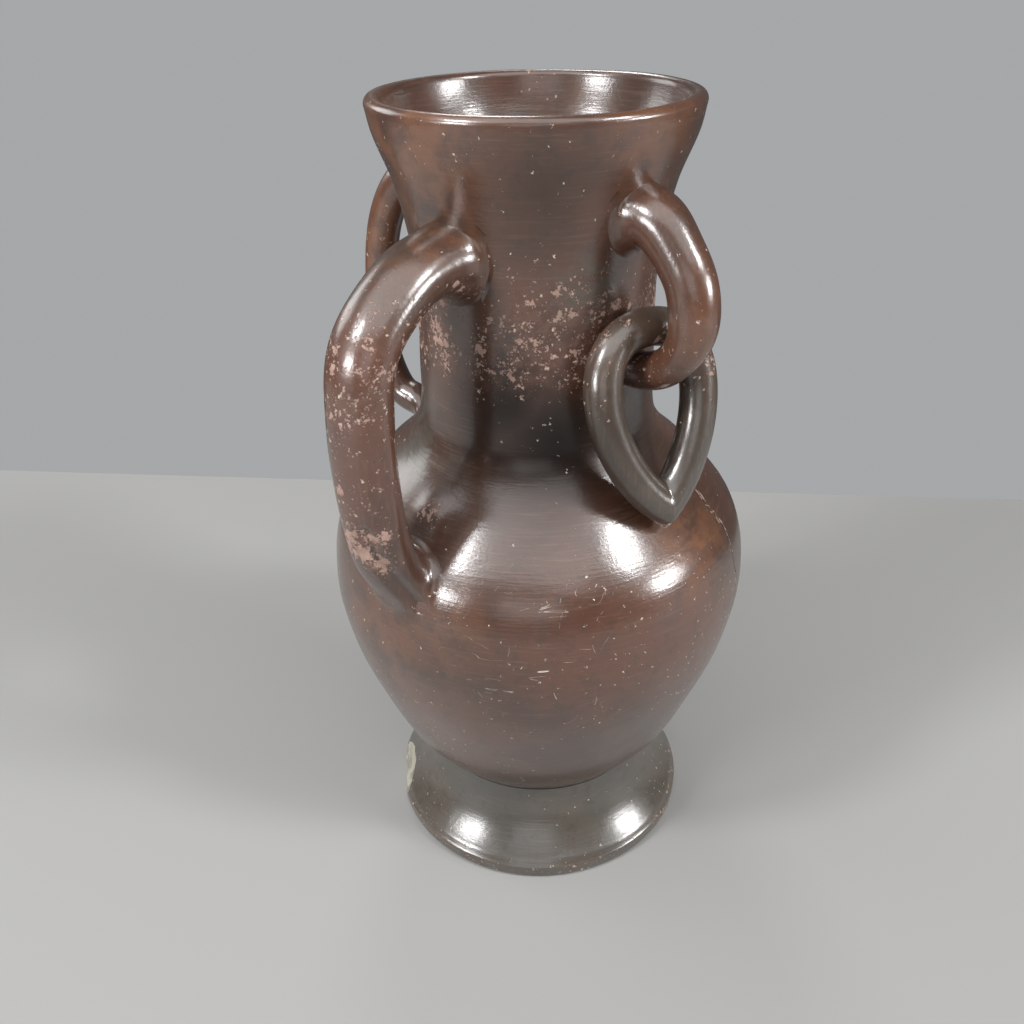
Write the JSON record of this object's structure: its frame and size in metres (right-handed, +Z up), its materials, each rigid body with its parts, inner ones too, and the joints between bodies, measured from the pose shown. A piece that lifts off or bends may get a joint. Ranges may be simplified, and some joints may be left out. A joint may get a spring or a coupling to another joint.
{
  "type": "earthenware jug",
  "caption": "Burnished dark earthenware jug with a flared mouth, round belly, splayed foot, strap handle, ear loops and a loose teardrop link.",
  "frame": {"origin": "centre of the foot's flat underside, on the surface that the jug stands on", "axes": "+Z up along the turning axis, -X towards the strap handle, -Y towards the ear loop that carries the link"},
  "size_m": [0.1768, 0.1636, 0.299],
  "materials": {
    "foot_clay": "burnished",
    "body_clay": "burnished",
    "neck_clay": "burnished, flaked slip",
    "handle_clay": "burnished, flaked slip",
    "loop_clay": "burnished",
    "link_clay": "burnished"
  },
  "bodies": {
    "vessel": {"foot": "foot_clay", "lower_bowl": "body_clay", "shoulder": "body_clay", "neck": "neck_clay", "strap_handle": "handle_clay", "link_loop": "loop_clay", "rear_loop": "loop_clay"},
    "link": {"teardrop_link": "link_clay"}
  },
  "joints": [
    {"name": "link_swing", "type": "hinge", "parent": "vessel", "child": "link", "pos_m": [-0.00614, -0.05001, 0.233], "axis": [-0.9336, 0.3584, 0], "range_deg": [0, 60]}
  ]
}
